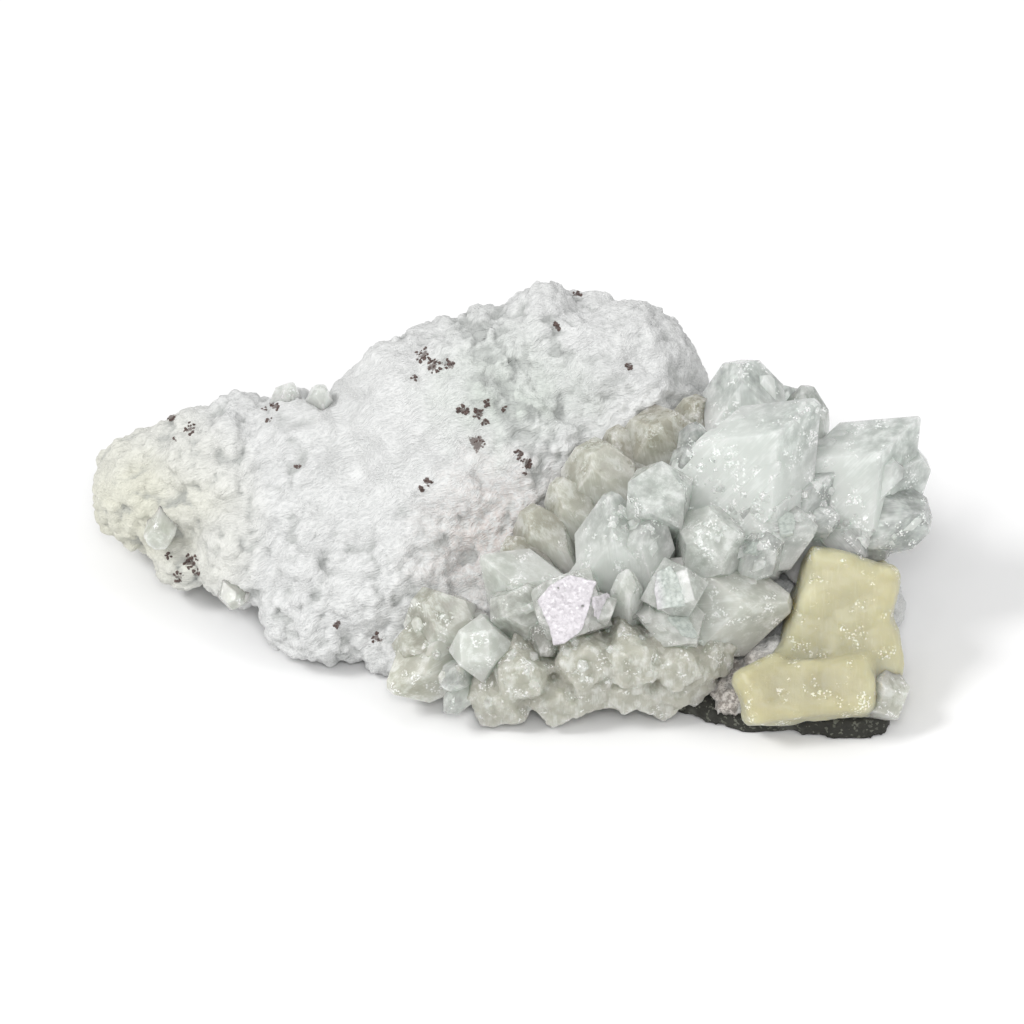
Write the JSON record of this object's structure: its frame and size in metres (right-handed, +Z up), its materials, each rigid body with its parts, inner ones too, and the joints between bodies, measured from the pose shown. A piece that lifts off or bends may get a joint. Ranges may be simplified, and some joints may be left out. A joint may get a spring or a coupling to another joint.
{
  "type": "apophyllite cluster",
  "caption": "Mineral specimen: clear blocky apophyllite crystals and cream stilbite on a knobbly white mordenite crust over a wedge of dark basalt.",
  "frame": {"origin": "centre of the specimen's outline on the surface it rests on", "axes": "+X along the specimen's length, towards the apophyllite end; +Z up from the surface it rests on; the crystal face looks towards -Y and leans back"},
  "size_m": [0.1529, 0.0814, 0.0508],
  "materials": {
    "basalt": "rough, granular, with small sparkles",
    "mordenite": "matt, fuzzy",
    "stilbite": "satin to pearly, slightly see-through",
    "stilbite_tan": "satin, honey coloured, see-through at the edges",
    "apophyllite": "glossy, milky, see-through"
  },
  "bodies": {
    "root": {"basalt_matrix": "basalt", "mordenite_crust": "mordenite", "apophyllite_cluster": "apophyllite", "stilbite_border": "stilbite_tan", "stilbite_sheaf": "stilbite", "apophyllite_lone_west": "apophyllite", "apophyllite_lone_rim_left": "apophyllite", "apophyllite_lone_rim_right": "apophyllite", "apophyllite_lone_low": "apophyllite", "apophyllite_lone_corner": "apophyllite"}
  },
  "joints": []
}
